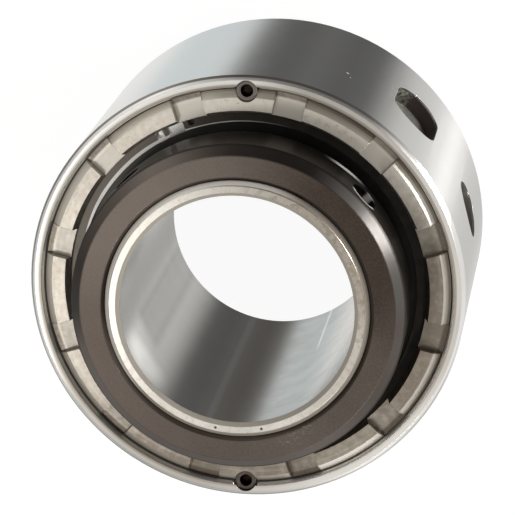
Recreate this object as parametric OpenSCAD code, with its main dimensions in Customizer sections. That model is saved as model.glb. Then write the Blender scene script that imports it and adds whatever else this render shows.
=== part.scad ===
// Cartridge roller bearing. A cylindrical cartridge holds two rows of waisted rollers
// that run on a ball-shaped inner ring, so the shaft may lean a little. A castellated
// cover screws into the collar end and sets the play of the rollers.
// The shaft lies along Z, the collar end faces +Z, and the origin is the centre of the
// ball, halfway along the cartridge. Radial sizes stack from the shaft outwards, and
// axial sizes from the centre to each end.
// Clock angles are read from the collar end: 0 is +Y, and they grow clockwise.

/* [Inner ring] */
// Diameter of the shaft bore
bore_d = 87.31; // [80:0.01:95]
// Wall of the sleeve at each end of the inner ring
sleeve_wall = 5.54; // [4:0.01:8]
// Height of the ball raceway above the sleeve
ball_rise = 4.8; // [4.4:0.1:6]
// How far the sleeve's end stands out of the collar
sleeve_proud = 0.6; // [0.2:0.1:3]
// Depth of the sleeve's rear end below the cartridge's rear face
sleeve_recess = 4.4; // [1:0.1:8]
// Bevel on the outer edge of each sleeve end
sleeve_edge = 1.7; // [0.3:0.1:2]
// Bevel at each mouth of the shaft bore
bore_edge = 1.3; // [0.3:0.1:2]

/* [Rollers and cages] */
// Rollers in each row
rollers_per_row = 18; // [10:1:18]
// Diameter of a roller at its waist
waist_d = 14.4; // [12:0.1:15]
// Length of a roller
roller_length = 16; // [12:0.1:16.5]
// Angle between a row's line of contact and the bearing's middle plane
contact_angle = 14; // [13:0.5:16]
// Bevel on the rim of each roller end
roller_edge = 0.5; // [0.1:0.1:1]
// Gap between a roller and each raceway
raceway_gap = 0.1; // [0.02:0.01:0.15]
// Thickness of a cage, square to the rollers
cage_thickness = 4.8; // [3:0.1:6]
// Width of the cage rim beyond each end of the rollers
cage_rim = 3; // [2:0.1:3.5]
// Gap between a roller and its cage pocket
pocket_gap = 0.35; // [0.1:0.01:0.5]

/* [Cups] */
// Wall of a cup where it is thinnest, at its end beside the middle plane
cup_wall = 3.58; // [2.5:0.01:6]
// Width of a cup
cup_width = 25; // [23:0.1:28]
// Space between the two cups
cup_spacing = 12; // [8:0.1:12.4]
// Bevel on a cup's outer edges
cup_edge = 1; // [0.3:0.1:1.5]
// Radial gap between a cup and its seat
seat_gap = 0.05; // [0.01:0.01:0.1]

/* [Cartridge housing] */
// Wall of the housing over the cups
housing_wall = 8.5; // [7:0.1:14]
// Bevel on the two outer edges of the housing
housing_edge = 1.7; // [0.3:0.1:1.8]
// Depth of the plain mouth in front of the cover's thread
mouth_depth = 3; // [1:0.1:4]
// Gap between the cover's thread and the wall of the mouth
mouth_gap = 1; // [0.5:0.1:1.2]
// Free length of thread left behind the cover
thread_runout = 2; // [1:0.1:4]

/* [Lubrication slot and pin hole] */
// Width of the slot, around the housing
slot_width = 22; // [12:0.1:26]
// Length of the slot, along the housing
slot_length = 38.5; // [28:0.1:44]
// Depth of the slot and of the pin hole
pocket_depth = 6.5; // [3:0.1:6.7]
// Clock angle of the slot
slot_clock = 48.2; // [40:0.1:52]
// Place of the slot's centre along the axis
slot_z = -2.2; // [-4:0.1:0]
// Diameter of the oil hole in the slot's floor
oil_hole_d = 6; // [3:0.1:7]
// Diameter of the pin hole
pin_hole_d = 22; // [12:0.1:24]
// Clock angle of the pin hole
pin_hole_clock = 78.2; // [74:0.1:90]
// Place of the pin hole's centre along the axis
pin_hole_z = -0.9; // [-10:0.1:10]

/* [Castellated cover] */
// How far the cover's thread stands outside the cups
thread_step = 3.4; // [2:0.1:4]
// Radial gap between the cover's thread and the housing's
thread_gap = 0.1; // [0.05:0.01:0.2]
// Lead-in bevel at the back end of the cover's thread
thread_lead = 1; // [0.3:0.1:2]
// Number of notches, with as many lugs between them
notch_count = 12; // [6:1:14]
// Width of a notch
notch_width = 11.6; // [6:0.1:14]
// Depth of a notch
notch_depth = 3.5; // [1.5:0.1:4]
// Bevel on the outer edge of the lugs
lug_edge = 3.1; // [1:0.1:3.4]
// Width of the lead-in at the cover's bore
lead_in = 1.3; // [0.3:0.1:2]
// Clock angle of the centre of the first lug
lug_clock = 0; // [-5:0.1:5]

/* [Lock screws] */
// Diameter of a lock screw
lock_screw_d = 8; // [5:0.1:8]
// Length of a lock screw
lock_screw_length = 10; // [6:0.1:14]
// Depth of a lock screw's head below the end face
lock_screw_depth = 1; // [0.3:0.1:3]
// Bevel around a lock screw's head
lock_screw_edge = 0.5; // [0.2:0.1:1]
// Depth of the hole left below a lock screw
lock_screw_room = 1; // [0.2:0.1:1.5]
// How far the screw's centre lies inside the cover's thread
lock_screw_inset = 0.8; // [0:0.1:2]
// Clock angle of the first lock screw; the other is opposite
lock_screw_clock = 2.5; // [-4:0.1:4]
// Across-flats size of a lock screw's socket
lock_key = 4; // [2:0.5:4]

/* [Lock collar] */
// Wall of the collar
collar_wall = 13.2; // [9:0.1:15]
// Width of the collar
collar_width = 23.7; // [18:0.1:30]
// Space between the collar and the cover's face
collar_space = 2.2; // [2:0.1:6]
// Bevel on the collar's front outer edge
collar_front_edge = 3.9; // [0.5:0.1:5]
// Bevel on the collar's back outer edge
collar_back_edge = 1.2; // [0.3:0.1:3]
// Bevel at the front of the collar's bore
collar_bore_edge = 1.6; // [0.2:0.1:2.5]
// Diameter of a collar screw
collar_screw_d = 11.1; // [8:0.1:13]
// Length of a collar screw
collar_screw_length = 14; // [10:0.1:15]
// Depth of a collar screw's head below the collar
collar_screw_depth = 3; // [0.5:0.1:3.5]
// Bevel around a collar screw's head
collar_screw_edge = 0.8; // [0.2:0.1:1.5]
// Clock angles of the two collar screws
collar_screw_clocks = [-40.5, 49.5];
// Across-flats size of a collar screw's socket
collar_key = 5.6; // [3:0.1:6]

/* [Seals] */
// Width of a seal case
seal_width = 9; // [8:0.1:12]
// Thickness of a seal case's walls
case_wall = 1.2; // [0.8:0.1:1.5]
// Radial depth of the groove inside a seal case
case_depth = 8.5; // [6:0.1:9]
// Width of the rubber hub of a lip ring
hub_width = 5.6; // [4:0.1:6]
// Height of the rubber hub above the sleeve
hub_height = 4; // [3:0.1:4.5]
// How far the two lips of a hub flare outwards
lip_flare = 0.6; // [0.2:0.1:0.8]
// Thickness of the web of a lip ring
web_thickness = 2; // [1.5:0.1:2.2]
// Space between the rim of the web and the wall of the case
web_space = 2.2; // [1.8:0.1:3]
// Gap between a lip and the sleeve
lip_gap = 0.05; // [0.02:0.01:0.1]
// Space around the sleeve out to the seal pocket's wall
pocket_space = 18.7; // [17:0.1:20]
// Thickness of the shoulder between a cup and its seal
shoulder = 5; // [3:0.1:8]
// Distance the shoulder stands inside the seal pocket's wall
shoulder_height = 5.9; // [4:0.1:7]

/* [Snap rings] */
// Thickness of a snap ring
ring_thickness = 2.2; // [1.5:0.1:3]
// Radial width of a snap ring
ring_width = 5.7; // [4:0.1:7]
// Depth of the snap ring's groove
groove_depth = 2; // [1:0.1:2.5]
// Side play of a snap ring in its groove
ring_play = 0.2; // [0.05:0.01:0.4]
// Metal between the groove and the end face
end_rim = 5; // [4.6:0.1:7]
// Clock angle of the snap ring's gap
ring_clock = -22; // [-30:1:0]
// Angle of the snap ring's gap
ring_opening = 6; // [3:0.5:12]
// Diameter of the plier hole at each end of a snap ring
plier_hole_d = 2.6; // [1.5:0.1:3]

/* [Hidden] */
$fn = 128;
eps = 0.01;
front_rollers = [for (i = [1:rollers_per_row]) str("front_roller_", i)];
rear_rollers = [for (i = [1:rollers_per_row]) str("rear_roller_", i)];

// Radii, from the shaft outwards
bore_r = bore_d / 2;
sleeve_r = bore_r + sleeve_wall;
ball_r = sleeve_r + ball_rise;
profile_r = ball_r + raceway_gap;
pitch_r = profile_r + waist_d / 2;
roller_end_r = pitch_r - sqrt(profile_r * profile_r - roller_length * roller_length / 4);
crown_r = profile_r - raceway_gap;
crown_at = [2 * pitch_r * cos(contact_angle), 2 * pitch_r * sin(contact_angle)];
cup_face_z = cup_spacing / 2;
cup_race_r = crown_at[0] - sqrt(crown_r * crown_r - pow(crown_at[1] - cup_face_z, 2));
cup_r = cup_race_r + cup_wall;
seat_r = cup_r + seat_gap;
housing_r = seat_r + housing_wall;
thread_r = cup_r + thread_step;
mouth_r = thread_r + mouth_gap;
seal_pocket_r = sleeve_r + pocket_space;
shoulder_r = seal_pocket_r - shoulder_height;
collar_r = sleeve_r + collar_wall;
lock_screw_r = thread_r - lock_screw_inset;
pocket_floor_r = housing_r - pocket_depth;

// Heights, from the centre to the front; the rear ones are their mirror image
cup_back_z = cup_face_z + cup_width;
seal_z = cup_back_z + shoulder;
groove_z = seal_z + seal_width;
groove_width = ring_thickness + ring_play;
face_z = groove_z + groove_width + end_rim;
collar_back_z = face_z + collar_space;
collar_front_z = collar_back_z + collar_width;
collar_middle_z = (collar_back_z + collar_front_z) / 2;
sleeve_front_z = collar_front_z + sleeve_proud;
sleeve_rear_z = -face_z + sleeve_recess;

// Running gaps of the screws in their holes, and of the collar on its sleeve
screw_gap = 0.08;
collar_gap = 0.05;
sleeve_hole_gap = 0.5;

// Turns what is drawn at +Y to a clock angle
module at_clock(angle) {
    rotate([0, 0, -angle]) children();
}

// Points what is drawn along +Z outwards, at a clock angle and a height
module outwards(angle, height) {
    at_clock(angle) translate([0, 0, height]) rotate([-90, 0, 0]) children();
}

// Copies what is drawn for the front end to the rear end
module rear() {
    mirror([0, 0, 1]) children();
}

// Round bar with its end bevelled at the top and pointed at the bottom
module set_screw(diameter, length, key, edge) {
    point_r = diameter / 4;
    point_height = diameter / 2 - point_r;
    socket_depth = length * 0.45;
    difference() {
        rotate_extrude() polygon([
            [0, 0], [point_r, 0], [diameter / 2, point_height],
            [diameter / 2, length - edge], [diameter / 2 - edge, length], [0, length]]);
        translate([0, 0, length - socket_depth])
            cylinder(d = key / cos(30), h = socket_depth + eps, $fn = 6);
    }
}

// Outline with round ends, its length along Y
module slot_outline(width, length) {
    square([width, length - width], center = true);
    for (end = [-1, 1])
        translate([0, end * (length - width) / 2]) circle(d = width);
}

// Places what is drawn along Z as one roller of the front row
module on_pitch_cone(index, stagger) {
    rotate([0, 0, (index + stagger) * 360 / rollers_per_row])
        rotate([0, -contact_angle, 0])
            translate([pitch_r, 0, 0]) children();
}

// Seat of the seal and its snap ring, cut from the end face to the cup
module seal_seat() {
    translate([0, 0, seal_z])
        cylinder(r = seal_pocket_r, h = face_z - seal_z + eps);
    translate([0, 0, groove_z])
        cylinder(r = seal_pocket_r + groove_depth, h = groove_width);
    translate([0, 0, cup_back_z - eps])
        cylinder(r = shoulder_r, h = shoulder + 2 * eps);
}

// Holes that two lock screws share, half in the cover and half in the housing
module lock_screw_holes() {
    hole_depth = lock_screw_depth + lock_screw_length + lock_screw_room;
    for (turn = [0, 180])
        at_clock(lock_screw_clock + turn)
            translate([0, lock_screw_r, face_z - hole_depth])
                cylinder(d = lock_screw_d + 2 * screw_gap, h = hole_depth + eps);
}

module housing() {
    color("#b9bab8") difference() {
        rotate_extrude() polygon([
            [0, -face_z], [housing_r - housing_edge, -face_z],
            [housing_r, -face_z + housing_edge], [housing_r, face_z - housing_edge],
            [housing_r - housing_edge, face_z], [0, face_z]]);
        rear() seal_seat();
        // Seat of both cups, closed by the rear shoulder
        translate([0, 0, -cup_back_z]) cylinder(r = seat_r, h = cup_back_z + face_z);
        // Thread of the cover, at its outer radius, and the plain mouth in front of it
        translate([0, 0, cup_back_z - thread_runout])
            cylinder(r = thread_r + thread_gap, h = face_z);
        translate([0, 0, face_z - mouth_depth]) cylinder(r = mouth_r, h = mouth_depth + eps);
        lock_screw_holes();
        // Slot with its oil hole, and the pin hole
        outwards(slot_clock, slot_z) {
            translate([0, 0, pocket_floor_r])
                linear_extrude(pocket_depth + 1) slot_outline(slot_width, slot_length);
            translate([0, 0, cup_race_r]) cylinder(d = oil_hole_d, h = housing_r - cup_race_r);
        }
        outwards(pin_hole_clock, pin_hole_z)
            translate([0, 0, pocket_floor_r]) cylinder(d = pin_hole_d, h = pocket_depth + 1);
    }
}

module castellated_cover() {
    color("#b3a794") difference() {
        rotate_extrude() polygon([
            [0, cup_back_z], [thread_r - thread_lead, cup_back_z],
            [thread_r, cup_back_z + thread_lead], [thread_r, face_z - lug_edge],
            [thread_r - lug_edge, face_z], [0, face_z]]);
        seal_seat();
        // Lead-in at the mouth, as deep as the notches
        translate([0, 0, face_z - notch_depth])
            cylinder(r1 = seal_pocket_r, r2 = seal_pocket_r + lead_in, h = notch_depth + eps);
        for (i = [0:notch_count - 1])
            at_clock(lug_clock + (i + 0.5) * 360 / notch_count)
                translate([-notch_width / 2, shoulder_r, face_z - notch_depth])
                    cube([notch_width, mouth_r - shoulder_r, 2 * notch_depth]);
        lock_screw_holes();
    }
}

module lock_screw(turn) {
    color("#4a3a31") at_clock(lock_screw_clock + turn)
        translate([0, lock_screw_r, face_z - lock_screw_depth - lock_screw_length])
            set_screw(lock_screw_d, lock_screw_length, lock_key, lock_screw_edge);
}

// Outer ring of the front row, with a raceway that bulges towards the rollers
module front_cup() {
    color("#c3c7ca") rotate_extrude() intersection() {
        translate(crown_at) circle(r = crown_r);
        polygon([
            [ball_r, cup_face_z], [cup_r - cup_edge, cup_face_z],
            [cup_r, cup_face_z + cup_edge], [cup_r, cup_back_z - cup_edge],
            [cup_r - cup_edge, cup_back_z], [ball_r, cup_back_z]]);
    }
}

module inner_ring() {
    color("#cfc9bd") difference() {
        union() {
            rotate_extrude() polygon([
                [0, sleeve_rear_z], [sleeve_r - sleeve_edge / 2, sleeve_rear_z],
                [sleeve_r, sleeve_rear_z + sleeve_edge / 2],
                [sleeve_r, sleeve_front_z - sleeve_edge],
                [sleeve_r - sleeve_edge, sleeve_front_z], [0, sleeve_front_z]]);
            sphere(r = ball_r);
        }
        translate([0, 0, -2 * face_z]) cylinder(r = bore_r, h = 5 * face_z);
        translate([0, 0, sleeve_front_z - bore_edge])
            cylinder(r1 = bore_r, r2 = bore_r + bore_edge + eps, h = bore_edge + eps);
        translate([0, 0, sleeve_rear_z - eps])
            cylinder(r1 = bore_r + bore_edge + eps, r2 = bore_r, h = bore_edge + eps);
        for (clock = collar_screw_clocks)
            outwards(clock, collar_middle_z)
                cylinder(d = collar_screw_d + 2 * sleeve_hole_gap, h = sleeve_r + 5);
    }
}

// Roller with a waist that wraps the ball, drawn along Z at its place on the X axis
module roller() {
    half = roller_length / 2;
    rim = roller_end_r - roller_edge;
    flare = 5 * roller_edge;
    rotate_extrude() difference() {
        polygon([
            [0, -half], [rim, -half], [rim + flare, -half + flare],
            [rim + flare, half - flare], [rim, half], [0, half]]);
        translate([pitch_r, 0]) circle(r = profile_r, $fn = 360);
    }
}

module front_roller(index) {
    color("#d6d9db") on_pitch_cone(index, 0) roller();
}

module rear_roller(index) {
    color("#d6d9db") rear() on_pitch_cone(index, 0.5) roller();
}

// Cone-shaped ring with a pocket for each roller of a row
module front_cage(stagger = 0) {
    pocket_length = roller_length + 2 * pocket_gap;
    cage_length = pocket_length + 2 * cage_rim;
    color("#b08f55") difference() {
        rotate_extrude() rotate(contact_angle) translate([pitch_r, 0])
            square([cage_thickness, cage_length], center = true);
        for (i = [1:rollers_per_row])
            on_pitch_cone(i, stagger)
                cylinder(r = roller_end_r + pocket_gap, h = pocket_length, center = true);
    }
}

module lock_collar() {
    color("#4b423c") difference() {
        rotate_extrude() polygon([
            [sleeve_r + collar_gap, collar_back_z], [collar_r - collar_back_edge, collar_back_z],
            [collar_r, collar_back_z + collar_back_edge],
            [collar_r, collar_front_z - collar_front_edge],
            [collar_r - collar_front_edge, collar_front_z],
            [sleeve_r + collar_gap + collar_bore_edge, collar_front_z],
            [sleeve_r + collar_gap, collar_front_z - collar_bore_edge]]);
        for (clock = collar_screw_clocks)
            outwards(clock, collar_middle_z)
                cylinder(d = collar_screw_d + 2 * screw_gap, h = collar_r + 5);
    }
}

module collar_screw(clock) {
    color("#3b332f") outwards(clock, collar_middle_z)
        translate([0, 0, collar_r - collar_screw_depth - collar_screw_length])
            set_screw(collar_screw_d, collar_screw_length, collar_key, collar_screw_edge);
}

// Pressed metal ring with a groove that faces the sleeve
module front_seal_case() {
    case_r = seal_pocket_r - seat_gap;
    color("#57534d") rotate_extrude() difference() {
        translate([case_r - case_wall - case_depth, seal_z])
            square([case_wall + case_depth, seal_width]);
        translate([case_r - case_wall - case_depth - eps, seal_z + case_wall])
            square([case_depth + eps, seal_width - 2 * case_wall]);
    }
}

// Rubber ring with two lips on the sleeve and a web that floats in the case
module front_seal_lip() {
    middle = seal_z + seal_width / 2;
    lip_r = sleeve_r + lip_gap;
    hub_r = lip_r + hub_height;
    web_r = seal_pocket_r - case_wall - web_space;
    side = hub_width / 2;
    half_web = web_thickness / 2;
    color("#1d1c1b") rotate_extrude() translate([0, middle]) polygon([
        [lip_r, side], [lip_r + hub_height / 4, side + lip_flare], [hub_r, side - lip_flare],
        [hub_r + lip_flare, half_web], [web_r, half_web],
        [web_r, -half_web], [hub_r + lip_flare, -half_web],
        [hub_r, -side + lip_flare], [lip_r + hub_height / 4, -side - lip_flare], [lip_r, -side],
        [lip_r, -side + lip_flare], [lip_r + hub_height / 3, 0], [lip_r, side - lip_flare]]);
}

// Split ring with a plier hole at each side of its gap
module front_snap_ring() {
    outer_r = seal_pocket_r + groove_depth - ring_play;
    inner_r = outer_r - ring_width;
    hole_angle = ring_opening / 2 + atan(1.15 * plier_hole_d / inner_r);
    color("#35302c") translate([0, 0, groove_z + ring_play / 2]) difference() {
        rotate_extrude() translate([inner_r, 0]) square([ring_width, ring_thickness]);
        at_clock(ring_clock) translate([0, 0, -eps]) linear_extrude(ring_thickness + 2 * eps) polygon([
            [0, 0], [-2 * outer_r * tan(ring_opening / 2), 2 * outer_r],
            [2 * outer_r * tan(ring_opening / 2), 2 * outer_r]]);
        for (side = [-1, 1])
            at_clock(ring_clock + side * hole_angle)
                translate([0, inner_r + ring_width * 0.45, -eps])
                    cylinder(d = plier_hole_d, h = ring_thickness + 2 * eps);
    }
}

housing();
castellated_cover();
lock_screw(0);  // lock_screw_top
lock_screw(180);  // lock_screw_bottom
front_cup();
rear() front_cup();  // rear_cup
inner_ring();
front_cage();
rear() front_cage(0.5);  // rear_cage
lock_collar();
collar_screw(collar_screw_clocks[0]);  // collar_screw_left
collar_screw(collar_screw_clocks[1]);  // collar_screw_right
front_seal_case();
front_seal_lip();
front_snap_ring();
rear() front_seal_case();  // rear_seal_case
rear() front_seal_lip();  // rear_seal_lip
rear() front_snap_ring();  // rear_snap_ring
for (i = [1:rollers_per_row]) {
    front_roller(i);
    rear_roller(i);
}
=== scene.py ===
# %% [markdown]
# # A cartridge roller bearing in its finished surfaces
#
# The bearing stands on its rear face, with its shaft axis along Z and its lock collar
# on top. The solids already have their real shapes, so this lesson dresses them:
# ground and turned steel, black oxide, rubber and brass, all worked out from each
# point's place on the object. Only the threads, which are too fine for the solids, are
# made here, with numpy.

import math

import bmesh
import bpy
import numpy as np
from mathutils import Matrix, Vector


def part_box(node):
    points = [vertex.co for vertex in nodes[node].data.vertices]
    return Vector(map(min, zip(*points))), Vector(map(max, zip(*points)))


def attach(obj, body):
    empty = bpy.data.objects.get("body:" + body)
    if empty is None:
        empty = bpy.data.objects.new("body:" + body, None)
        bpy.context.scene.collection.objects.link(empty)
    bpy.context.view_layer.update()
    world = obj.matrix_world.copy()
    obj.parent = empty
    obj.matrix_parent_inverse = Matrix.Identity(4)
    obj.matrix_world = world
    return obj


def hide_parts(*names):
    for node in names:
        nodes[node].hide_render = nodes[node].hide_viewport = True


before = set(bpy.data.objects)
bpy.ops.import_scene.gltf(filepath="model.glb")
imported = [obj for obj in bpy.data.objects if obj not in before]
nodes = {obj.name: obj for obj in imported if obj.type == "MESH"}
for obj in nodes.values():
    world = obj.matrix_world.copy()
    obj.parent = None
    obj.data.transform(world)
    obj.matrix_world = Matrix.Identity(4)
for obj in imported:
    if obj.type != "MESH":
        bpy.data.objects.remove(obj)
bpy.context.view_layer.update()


# %% [markdown]
# ## Sizes
#
# Radii and heights are read from the boxes of the solids, so that what is made here
# follows them. The few sizes that no box shows are written in millimetres, and places
# around the shaft are written as clock angles in degrees.

# %% Sizes from the frame
MM = 0.001


def radius_of(node):
    """Half the width of a node's box, which is the outer radius of a round piece."""
    low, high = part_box(node)
    return max(high[0] - low[0], high[1] - low[1]) / 2


def heights_of(node):
    """The lowest and the highest point of a node."""
    low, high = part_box(node)
    return low[2], high[2]


housing_r = radius_of("housing")
cover_r = radius_of("castellated_cover")
mouth_r = cover_r + 1.0 * MM
collar_r = radius_of("lock_collar")
rear_z, face_z = heights_of("housing")
collar_back_z, collar_front_z = heights_of("lock_collar")
screw_hole_z = (collar_back_z + collar_front_z) / 2
sleeve_front_z = heights_of("inner_ring")[1]
lock_head_z = heights_of("lock_screw_top")[1]

BORE_R = 43.655 * MM
SLEEVE_R = 49.195 * MM
NOTCHES = 12
NOTCH_WIDTH = 11.6 * MM
NOTCH_DEPTH = 3.5 * MM
COVER_BEVEL = 3.1 * MM
SNAP_INNER_R = 63.995 * MM
SNAP_GAP_CLOCK = -22.0
LOCK_SCREW_R = 76.592 * MM
LOCK_SCREW_CLOCKS = (2.5, -177.5)
COLLAR_SCREW_CLOCKS = {"collar_screw_left": -40.5, "collar_screw_right": 49.5}
print("housing radius", round(housing_r / MM, 2), "mm, face at", round(face_z / MM, 2), "mm")


# %% [markdown]
# ## Shader sums as Python sums
#
# A finish is a sum of masks: how far from the axis, how high, how noisy. Writing each
# Math node by hand would hide the sum, so a socket is wrapped in a small class whose
# operators add the nodes. `1 - mask` then reads as it does on paper.

# %% A socket that can be added and multiplied
class Wire:
    """The output of a shader node. Sums with it add Math nodes to its finish."""

    def __init__(self, finish, socket):
        self.finish = finish
        self.socket = socket

    def sum(self, operation, *given):
        """A Math node of one or two operands, each of them a number or a wire."""
        return self.finish.node("ShaderNodeMath", {"operation": operation}, given)

    def __add__(self, other):
        return self.sum("ADD", self, other)

    def __radd__(self, other):
        return self.sum("ADD", other, self)

    def __sub__(self, other):
        return self.sum("SUBTRACT", self, other)

    def __rsub__(self, other):
        return self.sum("SUBTRACT", other, self)

    def __mul__(self, other):
        return self.sum("MULTIPLY", self, other)

    def __rmul__(self, other):
        return self.sum("MULTIPLY", other, self)

    def __truediv__(self, other):
        return self.sum("DIVIDE", self, other)

    def __pow__(self, other):
        return self.sum("POWER", self, other)

    def __abs__(self):
        return self.sum("ABSOLUTE", self)

    def most(self, other):
        """The larger of the two, which joins masks."""
        return self.sum("MAXIMUM", self, other)

    def step(self, start, end):
        """0 below start, 1 above end, and smooth between; start may lie above end."""
        rising = start < end
        low, high = (start, end) if rising else (end, start)
        first, last = (0.0, 1.0) if rising else (1.0, 0.0)
        return self.finish.node(
            "ShaderNodeMapRange", {"interpolation_type": "SMOOTHSTEP"},
            {"Value": self, "From Min": low, "From Max": high, "To Min": first, "To Max": last})

    def band(self, middle, half, blur):
        """1 within half of middle, falling to 0 over blur."""
        return abs(self - middle).step(half + blur, half)


# %% [markdown]
# A node tree is built by one method that adds any node. The rest of this class gives
# names to the few nodes that every finish needs: colour mixes, ramps and noise. Colours
# are written as red, green and blue.

# %% A material, or the world, that is built up by calls
BLACK = (0.0, 0.0, 0.0)
WHITE = (1.0, 1.0, 1.0)


class Finish:
    """A node tree with one method that adds any node and sets its sockets."""

    def __init__(self, owner):
        owner.use_nodes = True
        self.owner = owner
        self.tree = owner.node_tree
        self.tree.nodes.clear()

    def node(self, kind, settings=None, given=(), output=0):
        """Adds a node, makes its settings, then links or sets the sockets in given."""
        made = self.tree.nodes.new(kind)
        for name, value in (settings or {}).items():
            if name == "stops":
                self.set_stops(made.color_ramp, value)
            else:
                setattr(made, name, value)
        pairs = given.items() if isinstance(given, dict) else enumerate(given)
        for key, value in pairs:
            self.feed(made.inputs[key], value)
        return Wire(self, made.outputs[output]) if len(made.outputs) else None

    def feed(self, socket, value):
        """Links a wire to a socket, or sets the socket to a constant."""
        if isinstance(value, Wire):
            self.tree.links.new(value.socket, socket)
        elif socket.type == "RGBA":
            socket.default_value = (*value, 1.0)
        else:
            socket.default_value = value

    def set_stops(self, ramp, stops):
        """Gives a colour ramp its (place, colour) pairs."""
        while len(ramp.elements) < len(stops):
            ramp.elements.new(0.5)
        for element, (place, colour) in zip(ramp.elements, stops):
            element.position = place
            element.color = (*colour, 1.0)

    def split(self, vector):
        """The three parts of a vector."""
        made = self.tree.nodes.new("ShaderNodeSeparateXYZ")
        self.feed(made.inputs[0], vector)
        return [Wire(self, part) for part in made.outputs]

    def join(self, x, y, z):
        """A vector from its three parts."""
        return self.node("ShaderNodeCombineXYZ", {}, [x, y, z])

    def mix(self, mask, low, high):
        """Colour low where mask is 0 and high where it is 1."""
        factor, colour_a, colour_b, colour_out = 0, 6, 7, 2
        given = {factor: mask, colour_a: low, colour_b: high}
        return self.node("ShaderNodeMix", {"data_type": "RGBA"}, given, output=colour_out)

    def noise(self, vector, scale, detail=2.0, roughness=0.5):
        """Cloudy noise around 0.5."""
        return self.node(
            "ShaderNodeTexNoise", {"noise_dimensions": "3D"},
            {"Vector": vector, "Scale": scale, "Detail": detail, "Roughness": roughness})


# %% [markdown]
# ## Places on a body of revolution
#
# Nearly every surface here was turned or ground around the shaft, so its pattern
# follows the distance from the axis, the height and the clock angle, and not X and Y.
# The clock angle runs from +Y towards +X, as on a clock seen from the collar.

# %% Cylinder coordinates
class Place:
    """Where a point lies: x, y, z, its distance from the Z axis and its clock angle."""

    def __init__(self, finish):
        self.finish = finish
        self.point = finish.node("ShaderNodeTexCoord", output="Object")
        self.x, self.y, self.z = finish.split(self.point)
        self.radius = (self.x * self.x + self.y * self.y) ** 0.5
        turn = self.x.sum("ARCTAN2", self.x, self.y)
        self.clock = turn * (180 / math.pi)

    def lathe_marks(self, pitch, along):
        """Fine lines around the axis. They vary quickly along one direction (the height
        on a cylinder, the radius on a face) and hardly at all around the axis."""
        across = (self.z if along == "height" else self.radius) / pitch
        slow = 6.0
        stretched = self.finish.join(self.x * slow, self.y * slow, across)
        return self.finish.noise(stretched, 1.0, 3.0, 0.6)

    def blotches(self, size, detail=3.0):
        """Cloudy patches of about that size, alike in all directions."""
        return self.finish.noise(self.point, 1.0 / size, detail, 0.55)

    def around(self, *levels):
        """A share that changes around the axis, from (clock angle, share) pairs. The first
        pair is at -180 degrees, and it is used at 180 degrees too."""
        stops = [(clock / 360 + 0.5, (share, share, share)) for clock, share in levels]
        stops.append((1.0, stops[0][1]))
        return self.finish.node("ShaderNodeValToRGB", {"stops": stops}, [self.clock / 360 + 0.5])

    def gap_from(self, radius, clock, z):
        """The distance from a point given by its radius, clock angle and height."""
        turn = math.radians(clock)
        point = (radius * math.sin(turn), radius * math.cos(turn), z)
        return self.finish.node("ShaderNodeVectorMath", {"operation": "DISTANCE"},
                                [self.point, point], output="Value")

    def near(self, radius, clock, z, size):
        """1 close to a point, 0 beyond size."""
        return self.gap_from(radius, clock, z).step(size, size * 0.6)


# %% [markdown]
# Every piece has one shader at the end of its sums. It rounds sharp edges by a bevel,
# because no real edge is without a radius, and it stretches glints across lathe marks.

# %% A metal and its shader
class Metal(Finish):
    """A finish with places. The last call, finish_with, adds the shader itself."""

    def __init__(self, name):
        super().__init__(bpy.data.materials.new(name))
        self.place = Place(self)

    def finish_with(self, colour, roughness, height, relief=0.02, metallic=1.0, brushing=0.0,
                    edge=0.25, coat=0.0):
        """Adds the shader. height is the relief in the range 0 to 1, relief its depth in
        millimetres, brushing how far glints stretch across the lathe marks, and edge the
        radius in millimetres to which every sharp edge looks rounded."""
        rounded = self.node("ShaderNodeBevel", {"samples": 6}, {"Radius": edge * MM})
        normal = self.node("ShaderNodeBump", {}, {
            "Strength": 1.0, "Distance": relief * MM, "Height": height, "Normal": rounded})
        shader = self.node("ShaderNodeBsdfPrincipled", {}, {
            "Base Color": colour, "Roughness": roughness, "Metallic": metallic,
            "Anisotropic": brushing, "Anisotropic Rotation": 0.25, "Coat Weight": coat,
            "Coat Roughness": 0.2, "Normal": normal})
        self.node("ShaderNodeOutputMaterial", {}, [shader])
        return self.owner


def dress(material, *names):
    """Puts one finish in every material slot of the named nodes."""
    for name in names:
        for slot in nodes[name].material_slots:
            slot.material = material
    print(material.name, "on", len(names), "nodes")
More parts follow.
